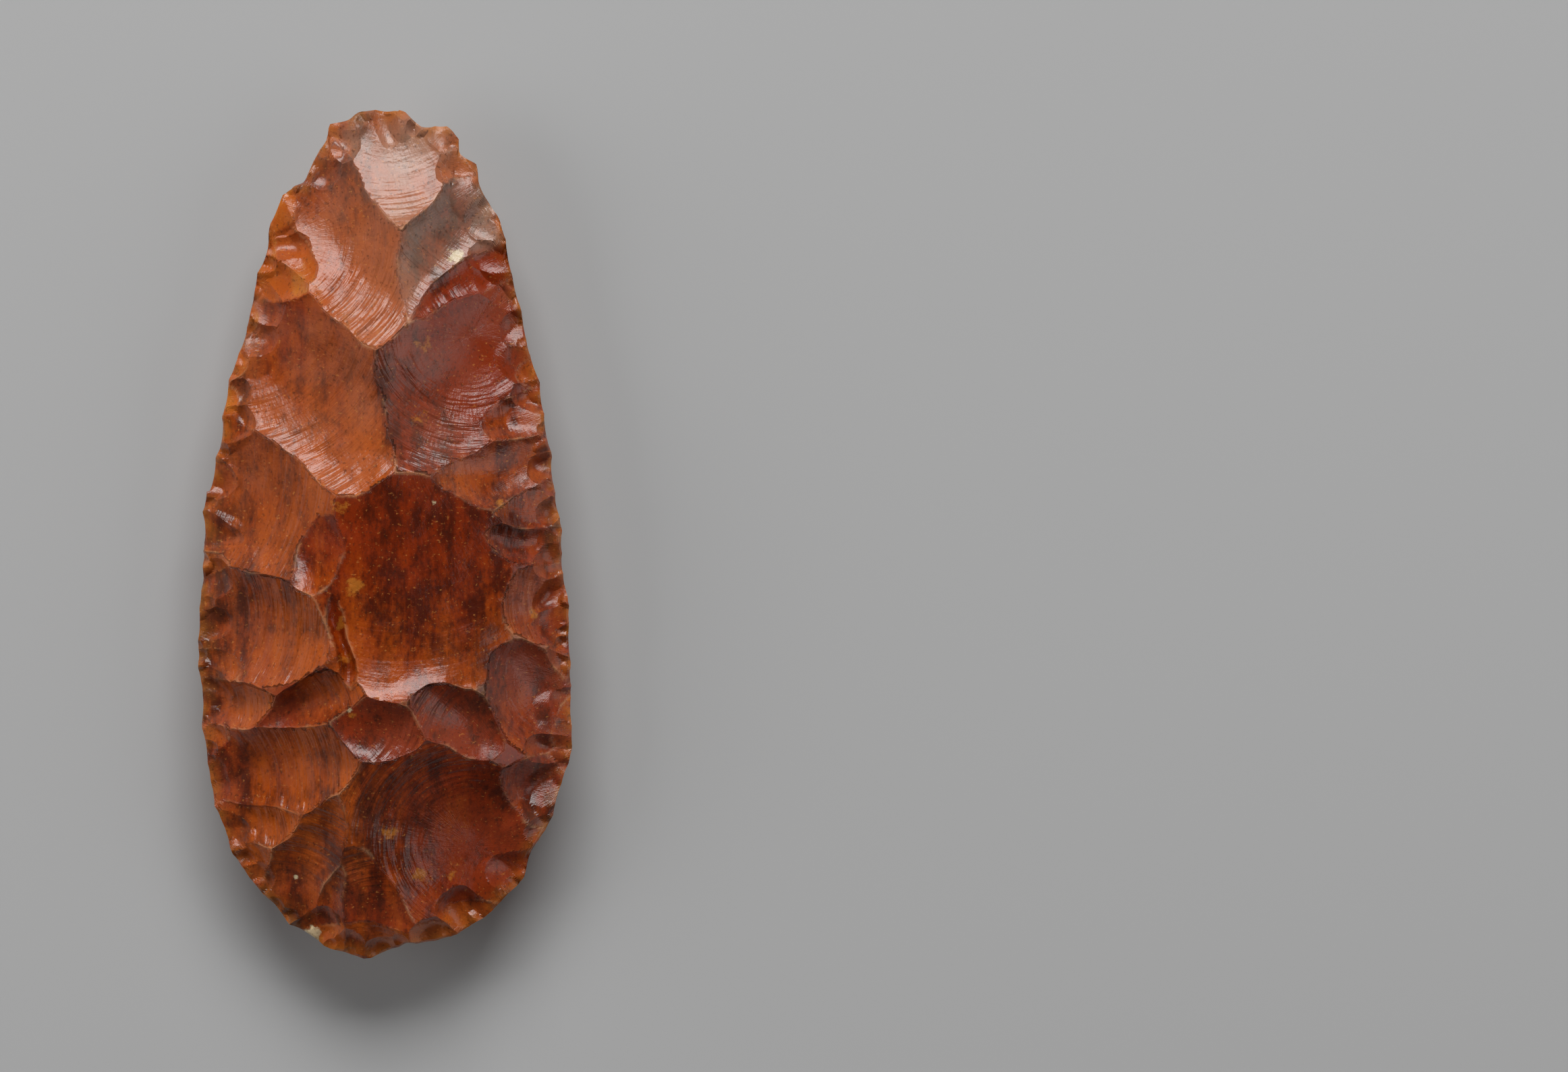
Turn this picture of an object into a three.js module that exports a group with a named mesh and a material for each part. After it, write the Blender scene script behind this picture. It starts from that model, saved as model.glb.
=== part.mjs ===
// A large flint hand axe: one solid piece of knapped stone, lying on its back face.
//
// Frame, in millimetres: Y runs along the axe with the tip towards +Y, X runs across it, Z is up.
// The axe rests on a small flat spot of its back face at Z = 0, under the middle of its outline.
//
// The form is worked out the way a knapper makes it. Two domed faces meet at a wavy edge, and each face
// is hollowed by flake scars. A flake is struck at the edge and runs inwards, and its scar is a long
// shallow scoop. Where two scoops meet, the deeper one wins, and the line between them is a sharp ridge.

import * as THREE from 'three';

// The two domes.
const HALF_WIDTH = 53;      // at the widest place
const TIP_END = 122;        // the domes run out here, just past the edge
const BUTT_END = -121;
const WIDEST_Y = -25;
const THICKEST_Y = -12;
const UPPER_RISE = 27.5;    // height of the upper dome over the edge, before flaking
const LOWER_RISE = 22.6;    // the same for the back
const SIDE_ROUNDNESS = 1.65;

// The edge between them.
const EDGE_HEIGHT = 19.8;   // over the resting plane
const EDGE_WAVE = 1.2;      // the edge wanders up and down by this much
const EDGE_CLOSING = 1.4;   // the faces close onto the edge over this distance
const EDGE_WEDGE = 0.2;     // least slope of either face beside the edge
const BITE_SHARE = 0.14;    // how far a flake bites into the outline, as a share of its depth
const BITE_START = 0.3;     // a flake bites the outline only along the first part of its run

// The scars.
const UPPER_SCARS = 2.3;    // the scars of the upper face are deepened by this
const LOWER_SCARS = 1.4;    // the same for the back
const SCAR_FADE = 4.5;      // a scar keeps half its depth where the dome is this high
const SCAR_KNEE = 0.7;      // past this share of the dome a scar digs ever more slowly
const PLAIN_BELLY = 0.45;   // share of its run at which a plain flake is deepest
const PLAIN_END = 2;        // a higher power makes a steeper, more abrupt end

// The mesh: quads across and along each face.
const COLUMNS = 32;
const ROWS = 70;
const RIDGE_PULL = 1.45;    // a point nearer than this to a ridge moves onto it

// The outline, clockwise from the tip. It lies between a round curve and straight steps.
const OUTLINE_ROUND = 0.4;  // 0 is straight from point to point, 1 is a round curve
const OUTLINE_STEPS = 12;   // between two points
const OUTLINE = [
  [-1, 120.3], [5.6, 120.2], [10, 115.8], [13.5, 115.4], [18, 115.8], [21, 112.8], [21, 108.6],
  [25.8, 105.2], [26.6, 100], [29.8, 94.4], [32.8, 90], [35, 80], [38.6, 65.5], [41.2, 54], [44, 45],
  [46.1, 31], [48.1, 16.5], [50.7, 1], [50.4, -10], [52.9, -25], [52.5, -38], [53.2, -60], [50.3, -71],
  [47, -81], [41.4, -91], [39.5, -97], [33, -104.5], [24, -111.5], [14.5, -115.6], [6, -115.6],
  [-4, -120], [-15, -117], [-27, -110], [-34, -102], [-39, -97], [-45.2, -85], [-49.9, -71],
  [-51.6, -56], [-53, -38], [-53.4, -22], [-52, -5], [-51.6, 9], [-47.6, 26], [-45.2, 42], [-40, 58],
  [-37.4, 70], [-33.4, 82.5], [-32.6, 88.8], [-28.4, 96.8], [-23, 100.4], [-20.6, 106.6],
  [-16.8, 112.6], [-15.8, 117.2], [-10.5, 118.2], [-7.5, 119.9],
];

// Flakes struck from the upper face, by region. Each one: where it was struck, x and y; where its run
// ended, x and y; its width and its depth; then, where it isn't plain, its belly, the lean of its sides
// and the power of its end.
const UPPER_FLAKES = {
  tip: [
    [1, 126, 5, 86, 34, 3.2, 0.4], [3, 123, 2, 115.8, 14, 2, 0.6],
    [-26, 110, 5, 53, 33, 4.4, 0.5, 0.12, 3], [34, 103, 0, 56, 25, 3.8],
  ],
  tip_chips: [
    [20, 118, 13, 105, 10, 2.2], [30, 106, 12, 101, 9, 2.4], [31, 99, 20, 98, 7, 1.8],
    [-22, 118, -13, 111, 9, 2], [-23, 110, -11, 103, 8, 2.2], [-28, 102, -17, 99, 9, 1.8],
  ],
  left_shoulder: [
    [-40, 95, -18, 89, 15, 3.2], [-31, 90, -15, 67, 12, 3.2], [-40, 83, -26, 81, 12, 2.3],
    [-44, 74, -19, 70, 14, 3.1], [-48, 61, -33, 59, 14, 3.4], [-52, 49, -31, 47, 14, 3.8],
    [-55, 38, -36, 37, 10, 2.9],
  ],
  right_shoulder: [
    [42, 83, 3, 58, 17, 4, 0.5], [40, 90, 28, 89, 9, 2.2], [42, 80, 32, 79, 8, 2],
    [48, 56, 37, 54, 9, 2.2], [52, 50, 31, 44, 12, 4.4, 0.5], [55, 38, 17, 31, 18, 5.2, 0.5],
  ],
  heart: [
    [40, 76, 3, 15, 45, 5.6, 0.47, 0, 3], [-42, 66, 3, 13, 44, 5.2, 0.48, 0, 3],
    [-60, 20, -11, 1, 44, 4.4, 0.5], [54, 22, 8, 16, 23, 3.8, 0.5],
  ],
  crown: [
    [6, 26, 10, -46, 56, 3, 0.5, 0, 5], [-28, 14, -10, -18, 22, 2.6, 0.5],
    [-13, -12, -8, -48, 7, 2.9, 0.5],
  ],
  left_side: [
    [-64, -22, -11, -29, 32, 4.4, 0.5], [-62, -25, -38, -23, 13, 3], [-62, -36, -31, -35, 12, 3.4],
    [-60, -48, -29, -46, 14, 3.9], [-60, -59, -40, -58, 11, 2.6], [-57, 4, -44, 2, 12, 2.2],
    [-58, -8, -42, -8, 9, 2.6], [-36, -54, -3, -41, 16, 3.3], [-58, -70, -4, -61, 29, 4.8, 0.5],
    [-56, -85, -20, -76, 17, 4], [-48, -96, -30, -88, 13, 2.8],
  ],
  right_side: [
    [57, 8, 31, 7, 15, 3], [56, -4, 25, 0, 12, 3], [62, -18, 33, -19, 25, 3.9],
    [51, -40, 30, -50, 36, 4, 0.5], [60, -53, 42, -52, 17, 3], [60, -36, 42, -37, 15, 2.6],
    [54, -70, 30, -74, 21, 4.6, 0.5], [58, -64, 44, -66, 10, 2.2], [56, -76, 43, -76, 13, 2.2],
    [52, -92, 35, -92, 13, 2.8],
  ],
  butt: [
    [46, -98, -12, -71, 53, 5.2, 0.5], [-14, -48, 12, -60, 19, 2.4, 0.5],
    [34, -60, 8, -43, 20, 2.9, 0.5], [0, -118, -2, -78, 27, 3.2, 0.5],
    [-30, -114, -13, -72, 25, 3.8], [-20, -112, -9, -90, 12, 3], [-4, -126, 0, -102, 22, 3.4, 0.5],
    [40, -110, 12, -102, 17, 3.4], [28, -120, 8, -110, 14, 3], [-36, -108, -21, -103, 13, 2.8],
    [-20, -122, -14, -108, 13, 2.4],
  ],
};

// Flakes struck from the back, in the same way.
const LOWER_FLAKES = {
  tip: [
    [26, 118, -8, 121, 18, 3, 0.5], [32, 110, 8, 104, 13, 2.9, 0.5],
    [-24, 121, 25, 95, 18, 4.4, 0.5], [42, 50, -8, 100, 38, 5, 0.5],
    [12, 92, 24, 40, 26, 4.4, 0.5],
  ],
  tip_chips: [
    [-24, 110, -12, 108, 9, 2.2], [-25, 103, -5, 101, 9, 2.6], [-14, 102, -9, 89, 8, 2.4],
    [34, 102, 20, 93, 12, 2.8], [37, 96, 28, 64, 10, 3.4, 0.5],
  ],
  left_shoulder: [
    [-38, 80, 9, 50, 25, 4.6, 0.5, 0, 3], [-40, 97, -4, 80, 16, 4.2, 0.5], [-36, 97, -14, 97, 9, 3],
    [-44, 84, -18, 76, 13, 4], [-42, 67, -12, 62, 12, 3.9], [-50, 53, -8, 51, 19, 4.6, 0.5],
    [-52, 41, -5, 41, 17, 4.2, 0.5], [-58, 28, 2, 25, 28, 4.8, 0.5],
  ],
  middle: [
    [-8, 62, 4, 36, 23, 3.8, 0.5], [2, 52, 12, 14, 18, 3.6, 0.5], [4, 34, -6, -40, 48, 1.8, 0.5],
    [22, 46, 21, -10, 22, 3, 0.5], [27, -6, 10, -54, 25, 3, 0.5], [-14, -26, 14, -46, 26, 3.6, 0.5],
    [-18, 16, -26, -26, 15, 3.2, 0.5],
  ],
  right_side: [
    [37, 52, 35, 18, 11, 3.6, 0.5], [52, 44, 37, 36, 20, 3.6, 0.5], [54, 25, 35, 21, 17, 3.4, 0.5],
    [40, 48, 24, 40, 10, 2.6], [56, 16, 23, -8, 26, 4.2, 0.5], [60, -2, 42, -3, 13, 3.6],
    [60, -17, 39, -17, 20, 4, 0.5], [42, -4, 22, -28, 22, 3.6, 0.5], [64, -36, 29, -33, 26, 4.6, 0.5],
    [66, -56, 34, -55, 22, 4.4, 0.5], [42, -50, 16, -54, 34, 4, 0.5], [56, -74, 36, -70, 14, 3.4],
  ],
  left_side: [
    [-52, -5, -22, -5, 48, 4.4, 0.5], [-54, -33, -26, -36, 24, 3.4, 0.5], [-62, 9, -41, 6, 20, 4],
    [-64, -14, -40, -15, 23, 4.2], [-64, -36, -39, -36, 22, 4.4], [-62, -52, -34, -52, 17, 4],
    [-60, -66, -34, -64, 16, 4], [-54, -92, -36, -87, 14, 3.2], [-58, -80, -14, -76, 20, 4.3, 0.5],
    [-42, -63, -4, -62, 22, 3.4, 0.5], [-34, -36, -27, -60, 14, 3.6, 0.5],
    [-28, -20, -8, -56, 26, 4.6, 0.5],
  ],
  butt: [
    [48, -94, 14, -74, 34, 4.6, 0.5], [22, -66, -10, -58, 36, 3.6, 0.5],
    [18, -72, -2, -86, 26, 3.4, 0.5], [24, -122, 0, -84, 30, 4.6, 0.5], [38, -108, 14, -104, 15, 3.4],
    [-4, -116, -12, -68, 18, 3.8, 0.5], [-4, -128, -7, -102, 23, 4], [-42, -110, -13, -84, 28, 4.6, 0.5],
    [-36, -118, -14, -110, 16, 3.8],
  ],
};

const asFlake = ([x, y, endX, endY, width, depth, belly = PLAIN_BELLY, lean = 0, end = PLAIN_END]) => {
  const run = Math.hypot(endX - x, endY - y);
  return { x, y, width, depth, belly, lean, end, run, along: [(endX - x) / run, (endY - y) / run] };
};
const upperFlakes = Object.values(UPPER_FLAKES).flat().map(asFlake);
const lowerFlakes = Object.values(LOWER_FLAKES).flat().map(asFlake);

// A place seen from a flake: the share of its run that lies behind, and the distance to its middle line.
function withinFlake(flake, x, y) {
  const [alongX, alongY] = flake.along;
  const share = ((x - flake.x) * alongX + (y - flake.y) * alongY) / flake.run;
  const aside = (x - flake.x) * alongY - (y - flake.y) * alongX;
  return [share, aside - flake.lean * flake.width * (share - flake.belly)];
}

// No scar is a perfect oval: its rim wanders a little from side to side.
function wandered(x, y) {
  return [
    x + 0.9 * Math.sin(0.17 * y + 1.3 * Math.sin(0.11 * x)) + 0.4 * Math.sin(0.41 * y + 0.23 * x + 2),
    y + 0.9 * Math.sin(0.19 * x + 1.1 * Math.sin(0.09 * y) + 1) + 0.4 * Math.sin(0.37 * x - 0.29 * y),
  ];
}

// How deep the flake's scoop is at a place. It is negative outside the scoop.
function scoopDepth(flake, x, y) {
  const [share, aside] = withinFlake(flake, ...wandered(x, y));
  const before = share < flake.belly;
  const reach = before ? flake.belly : 1 - flake.belly;
  const lengthwise = (Math.abs(share - flake.belly) / reach) ** (before ? 2 : flake.end);
  return flake.depth * (1 - lengthwise - (2 * aside / flake.width) ** 2);
}

const deepestScoop = (flakes, x, y) => Math.max(0, ...flakes.map((flake) => scoopDepth(flake, x, y)));

// The outline as a distance from the middle for each direction, with the bites of the flakes.
const outlineCurve = new THREE.CatmullRomCurve3(
  OUTLINE.map(([x, y]) => new THREE.Vector3(x, y, 0)), true, 'catmullrom', 0.5);
const outlineSteps = outlineCurve.getPoints(OUTLINE.length * OUTLINE_STEPS)
  .map((round, number) => {
    const corner = Math.floor(number / OUTLINE_STEPS);
    const [from, to] = [corner, corner + 1]
      .map((at) => new THREE.Vector3(...OUTLINE[at % OUTLINE.length], 0));
    return from.lerp(to, (number % OUTLINE_STEPS) / OUTLINE_STEPS).lerp(round, OUTLINE_ROUND);
  })
  .map((point) => ({ angle: Math.atan2(point.y, point.x), radius: Math.hypot(point.x, point.y) }))
  .sort((one, other) => one.angle - other.angle);

function smoothRadius(angle) {
  const after = outlineSteps.findIndex((step) => step.angle > angle);
  const next = outlineSteps[after < 0 ? 0 : after];
  const last = outlineSteps[after <= 0 ? outlineSteps.length - 1 : after - 1];
  const turn = 2 * Math.PI;
  const span = (next.angle - last.angle + turn) % turn;
  const part = span > 0 ? ((angle - last.angle + turn) % turn) / span : 0;
  return THREE.MathUtils.lerp(last.radius, next.radius, part);
}

function edgeRadius(angle) {
  const radius = smoothRadius(angle);
  const x = radius * Math.cos(angle);
  const y = radius * Math.sin(angle);
  const bites = [...upperFlakes, ...lowerFlakes].map((flake) => {
    const [share, aside] = withinFlake(flake, x, y);
    return share < BITE_START ? flake.depth * (1 - (2 * aside / flake.width) ** 2) : 0;
  });
  return radius - BITE_SHARE * Math.max(0, ...bites);
}

// How far a place lies from one level of the axe towards its tip, and towards its butt, from 0 to 1.
function endShares(y, level) {
  const towardsTip = THREE.MathUtils.clamp((y - level) / (TIP_END - level), 0, 1);
  const towardsButt = THREE.MathUtils.clamp((level - y) / (level - BUTT_END), 0, 1);
  return [towardsTip, towardsButt];
}

// The height of a plain dome over the edge.
function domeHeight(x, y, rise) {
  const [narrowTip, narrowButt] = endShares(y, WIDEST_Y);
  const [thinTip, thinButt] = endShares(y, THICKEST_Y);
  const halfWidth = HALF_WIDTH * (1 - narrowTip ** 1.7) ** 0.5 * (1 - narrowButt ** 3) ** 0.62;
  const lengthwise = (1 - thinTip ** 2) ** 0.9 * (1 - thinButt ** 3) ** 0.85;
  const across = 1 - Math.min(1, Math.abs(x) / Math.max(halfWidth, 1)) ** SIDE_ROUNDNESS;
  return rise * lengthwise * across;
}

// What a scar leaves of the dome. It never takes all of it, so the two faces never meet inside the edge.
function keptShare(taken) {
  const left = 1 - SCAR_KNEE;
  return taken < SCAR_KNEE ? 1 - taken : left * Math.exp((SCAR_KNEE - taken) / left);
}

// The height of a face at a place: side is 1 for the upper face and -1 for the back.
function faceHeight(x, y, side) {
  const angle = Math.atan2(y, x);
  const edge = edgeRadius(angle);
  const inwards = Math.max(0, edge - Math.hypot(x, y));
  const wave = 0.6 * Math.sin(3 * angle + 0.7) + 0.4 * Math.sin(5 * angle + 2.1) + 0.3 * Math.sin(11 * angle);
  const middle = EDGE_HEIGHT + EDGE_WAVE * wave * (1 - inwards / edge) ** 2;
  const plain = domeHeight(x, y, side > 0 ? UPPER_RISE : LOWER_RISE);
  const scoop = deepestScoop(side > 0 ? upperFlakes : lowerFlakes, x, y);
  const taken = scoop * (side > 0 ? UPPER_SCARS : LOWER_SCARS) / (plain + SCAR_FADE);
  const closing = THREE.MathUtils.smoothstep(inwards, 0, EDGE_CLOSING);
  const thickness = closing * plain * keptShare(taken) + EDGE_WEDGE * Math.min(inwards, 2 * EDGE_CLOSING);
  return Math.max(0, middle + side * thickness);
}

// The ridge beside a place runs where its two deepest scoops are equally deep. A near place moves there.
function pulledToRidge(x, y, flakes) {
  const [first, second] = [...flakes].sort((one, other) => scoopDepth(other, x, y) - scoopDepth(one, x, y));
  const lead = (px, py) => scoopDepth(first, px, py) - scoopDepth(second, px, py);
  if (scoopDepth(second, x, y) < 0) return [x, y];
  const step = 0.05;
  const slopeX = (lead(x + step, y) - lead(x - step, y)) / (2 * step);
  const slopeY = (lead(x, y + step) - lead(x, y - step)) / (2 * step);
  const steepness = slopeX ** 2 + slopeY ** 2;
  const move = lead(x, y) / steepness;
  if (Math.abs(move) * Math.sqrt(steepness) > RIDGE_PULL) return [x, y];
  return [x - move * slopeX, y - move * slopeY];
}

// A square grid is drawn into the outline, so that its rim is the axe's edge.
function gridPlace(column, row) {
  const across = 2 * column / COLUMNS - 1;
  const along = 2 * row / ROWS - 1;
  const discX = across * Math.sqrt(1 - along ** 2 / 2);
  const discY = along * Math.sqrt(1 - across ** 2 / 2);
  const x = HALF_WIDTH * discX;
  const y = 120 * discY;
  const angle = Math.atan2(y, x);
  const share = Math.hypot(discX, discY);
  const ellipse = 1 / Math.hypot(Math.cos(angle) / HALF_WIDTH, Math.sin(angle) / 120);
  const stretch = 1 + (edgeRadius(angle) / ellipse - 1) * share ** 4;
  return [x * stretch, y * stretch];
}

function handAxeGeometry() {
  const positions = [];
  const triangles = [];
  const onRim = (column, row) => column % COLUMNS === 0 || row % ROWS === 0;
  const addPoint = (x, y, z) => positions.push(x, y, z) / 3 - 1;

  const rim = new Map();
  const rimPoint = (column, row) => {
    const key = `${column},${row}`;
    if (!rim.has(key)) {
      const [x, y] = gridPlace(column, row);
      rim.set(key, addPoint(x, y, faceHeight(x, y, 1)));
    }
    return rim.get(key);
  };

  for (const side of [1, -1]) {
    const flakes = side > 0 ? upperFlakes : lowerFlakes;
    const points = [];
    for (let row = 0; row <= ROWS; row += 1) {
      points.push([]);
      for (let column = 0; column <= COLUMNS; column += 1) {
        if (onRim(column, row)) {
          points[row].push(rimPoint(column, row));
        } else {
          const [x, y] = pulledToRidge(...gridPlace(column, row), flakes);
          points[row].push(addPoint(x, y, faceHeight(x, y, side)));
        }
      }
    }
    addFaces(points, positions, triangles, side);
  }

  const geometry = new THREE.BufferGeometry();
  geometry.setAttribute('position', new THREE.Float32BufferAttribute(positions, 3));
  geometry.setIndex(triangles);
  geometry.computeBoundingBox();
  const middle = geometry.boundingBox.getCenter(new THREE.Vector3());
  geometry.translate(-middle.x, -middle.y, 0);
  geometry.computeVertexNormals();
  return geometry;
}

// Each quad is split along the diagonal that lies nearer to the true surface at its middle.
function addFaces(points, positions, triangles, side) {
  for (let row = 0; row < ROWS; row += 1) {
    for (let column = 0; column < COLUMNS; column += 1) {
      const corners = [points[row][column], points[row][column + 1],
        points[row + 1][column + 1], points[row + 1][column]];
      const [a, b, c, d] = side > 0 ? corners : corners.reverse();
      const at = (point, axis) => positions[3 * point + axis];
      const x = (at(a, 0) + at(b, 0) + at(c, 0) + at(d, 0)) / 4;
      const y = (at(a, 1) + at(b, 1) + at(c, 1) + at(d, 1)) / 4;
      const height = faceHeight(x, y, side);
      const missAC = Math.abs((at(a, 2) + at(c, 2)) / 2 - height);
      const missBD = Math.abs((at(b, 2) + at(d, 2)) / 2 - height);
      const atCorner = (column === 0 || column === COLUMNS - 1) && (row === 0 || row === ROWS - 1);
      const risingCorner = (column === 0) === (row === 0);
      const splitAC = atCorner ? risingCorner === (side > 0) : missAC <= missBD;
      triangles.push(...(splitAC ? [a, b, c, a, c, d] : [a, b, d, b, c, d]));
    }
  }
}

function flint() {
  return new THREE.MeshStandardMaterial({ color: 0x8a4a20, roughness: 0.35, metalness: 0 });
}

const handAxe = new THREE.Mesh(handAxeGeometry(), flint());
handAxe.name = 'hand_axe';

const part = new THREE.Group();
part.add(handAxe);
export default part;
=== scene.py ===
# %% [markdown]
# # A flint hand axe
# This is one piece of stone, rather longer than a hand, flaked on both faces until a wavy edge ran all round
# it. It lies on its back face, so we look down on the front face.
# A sculptor could push clay brushes over a sphere to get here. We work the form out instead: every hollow on
# the real stone is the scar of one flake that a knapper struck off, so we describe the flakes, and the sharp
# ridges between them come out by themselves, just as they did on the stone.

# %% Load the fixed frame
import math
import bpy
import numpy as np
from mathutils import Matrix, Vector


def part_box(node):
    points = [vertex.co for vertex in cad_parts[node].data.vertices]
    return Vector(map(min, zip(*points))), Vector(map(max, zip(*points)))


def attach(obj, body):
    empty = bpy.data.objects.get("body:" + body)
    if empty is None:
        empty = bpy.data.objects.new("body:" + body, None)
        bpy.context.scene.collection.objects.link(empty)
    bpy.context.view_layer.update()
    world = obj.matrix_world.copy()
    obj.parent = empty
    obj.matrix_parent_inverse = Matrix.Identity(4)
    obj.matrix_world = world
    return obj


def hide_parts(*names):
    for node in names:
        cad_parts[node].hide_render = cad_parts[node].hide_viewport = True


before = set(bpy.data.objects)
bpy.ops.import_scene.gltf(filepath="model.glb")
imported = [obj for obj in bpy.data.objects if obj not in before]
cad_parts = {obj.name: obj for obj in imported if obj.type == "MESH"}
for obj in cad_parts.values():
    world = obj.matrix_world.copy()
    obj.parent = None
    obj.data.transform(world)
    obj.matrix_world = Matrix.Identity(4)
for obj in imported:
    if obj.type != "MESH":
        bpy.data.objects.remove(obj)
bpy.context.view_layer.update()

MM = 0.001
axe_low, axe_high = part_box("hand_axe")
axe_size = axe_high - axe_low
print("the solid axe is", [round(side / MM, 1) for side in axe_size], "mm")

# %% [markdown]
# ## The plain form
# Before any flaking, the axe is two shallow domes that meet at an edge. We keep the solid model's domes and
# outline, in millimetres, because the fine surface has to sit on the same form. Only the scars fade a little
# sooner towards the edge here, which leaves stone at the edge for small scars.

# %% Driving sizes, in millimetres
HALF_WIDTH = 53
TIP_END = 122
BUTT_END = -121
WIDEST_Y = -25
THICKEST_Y = -12
UPPER_RISE = 27.5
LOWER_RISE = 22.6
SIDE_ROUNDNESS = 1.65

EDGE_HEIGHT = 19.8
EDGE_WAVE = 1.2
EDGE_CLOSING = 0.5     # a face closes onto the edge over this distance
EDGE_WEDGE = 0.2       # least slope beside the edge
BITE_SHARE = 0.14      # how far a flake bites into the outline, as a share of its depth
BITE_START = 0.3       # it bites only along the first part of its run
UPPER_SCARS = 2.5      # the front's scars are deepened by this, and the back's by the next one
LOWER_SCARS = 1.55
SCAR_FADE = 7.5        # a scar keeps half its depth where the dome is this high
SCAR_KNEE = 0.6        # past this share of the dome a scar digs ever more slowly

# %% [markdown]
# ## The flakes
# A knapper strikes the edge, and a flake runs inwards under the blow. Its scar is a long shallow scoop, so
# each flake here is: where it was struck, x and y; where its run ended, x and y; its width and its depth;
# then, where it isn't plain, its belly (the share of the run where it is deepest), the lean of its sides and
# the power of its end (2 is gentle, more is a steep, hinged end).
# Each group also has three looks, from 0 to 1: how warm and light its colour is, which is partly the stone's
# own tone and partly painted light and shade, as lit scars are given lighter colours and shaded ones darker;
# how grey its weathered skin is; and how strongly the shock left ripples.

# %% Flakes of the upper face
UPPER_FLAKES = {
    "tip": (0.55, 0.8, 0.25, [
        [1, 126, 5, 86, 34, 3.2, 0.4], [3, 123, 2, 115.8, 14, 2, 0.6]]),
    "petal": (0.62, 0.25, 0.9, [
        [-26, 110, 5, 53, 33, 4.4, 0.5, 0.12, 3]]),
    "tip right": (0.3, 0.75, 0.5, [
        [34, 103, 0, 56, 25, 3.8]]),
    "tip chips": (0.6, 0.45, 0.4, [
        [20, 118, 13, 105, 10, 2.2], [30, 106, 12, 101, 9, 2.4], [31, 99, 20, 98, 7, 1.8],
        [-22, 118, -13, 111, 9, 2], [-23, 110, -11, 103, 8, 2.2], [-28, 102, -17, 99, 9, 1.8]]),
    "left shoulder": (0.75, 0.1, 0.5, [
        [-40, 95, -18, 89, 15, 3.2], [-31, 90, -15, 67, 12, 3.2], [-40, 83, -26, 81, 12, 2.3],
        [-44, 74, -19, 70, 14, 3.1], [-48, 61, -33, 59, 14, 3.4], [-52, 49, -31, 47, 14, 3.8],
        [-55, 38, -36, 37, 10, 2.9]]),
    "dark notch": (-0.25, 0.0, 0.4, [
        [42, 83, 3, 58, 17, 4, 0.5]]),
    "right shoulder": (0.3, 0.1, 0.5, [
        [40, 90, 28, 89, 9, 2.2], [42, 80, 32, 79, 8, 2],
        [48, 56, 37, 54, 9, 2.2], [52, 50, 31, 44, 12, 4.4, 0.5], [55, 38, 17, 31, 18, 5.2, 0.5]]),
    "heart right": (-0.15, 0.16, 1.0, [
        [40, 76, 3, 15, 45, 5.6, 0.47, 0, 3]]),
    "heart left": (0.55, 0.2, 0.5, [
        [-42, 66, 3, 13, 44, 5.2, 0.48, 0, 3]]),
    "waist left": (0.42, 0.12, 0.6, [
        [-60, 20, -11, 1, 44, 4.4, 0.5]]),
    "waist right": (0.42, 0.12, 0.5, [
        [54, 22, 8, 16, 23, 3.8, 0.5]]),
    "crown": (0.28, 0.0, 0.1, [
        [6, 26, 10, -46, 56, 3, 0.5, 0, 5], [-28, 14, -10, -18, 22, 2.6, 0.5],
        [-13, -12, -8, -48, 7, 2.9, 0.5]]),
    "left side": (0.42, 0.1, 0.9, [
        [-64, -22, -11, -29, 32, 4.4, 0.5], [-62, -25, -38, -23, 13, 3], [-62, -36, -31, -35, 12, 3.4],
        [-60, -48, -29, -46, 14, 3.9], [-60, -59, -40, -58, 11, 2.6], [-57, 4, -44, 2, 12, 2.2],
        [-58, -8, -42, -8, 9, 2.6], [-36, -54, -3, -41, 16, 3.3], [-58, -70, -4, -61, 29, 4.8, 0.5],
        [-56, -85, -20, -76, 17, 4], [-48, -96, -30, -88, 13, 2.8]]),
    "right side": (0.08, 0.1, 0.8, [
        [57, 8, 31, 7, 15, 3], [56, -4, 25, 0, 12, 3], [62, -18, 33, -19, 25, 3.9],
        [51, -40, 30, -50, 36, 4, 0.5], [60, -53, 42, -52, 17, 3], [60, -36, 42, -37, 15, 2.6],
        [54, -70, 30, -74, 21, 4.6, 0.5], [58, -64, 44, -66, 10, 2.2], [56, -76, 43, -76, 13, 2.2],
        [52, -92, 35, -92, 13, 2.8]]),
    "big": (0.18, 0.05, 1.0, [
        [46, -98, -12, -71, 53, 5.2, 0.5]]),
    "dark hollows": (-0.15, 0.12, 0.8, [
        [-14, -48, 12, -60, 19, 2.4, 0.5], [34, -60, 8, -43, 20, 2.9, 0.5]]),
    "butt": (0.4, 0.08, 0.8, [
        [0, -118, -2, -78, 27, 3.2, 0.5],
        [-30, -114, -13, -72, 25, 3.8], [-20, -112, -9, -90, 12, 3], [-4, -126, 0, -102, 22, 3.4, 0.5],
        [40, -110, 12, -102, 17, 3.4], [28, -120, 8, -110, 14, 3], [-36, -108, -21, -103, 13, 2.8],
        [-20, -122, -14, -108, 13, 2.4]]),
}

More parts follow.
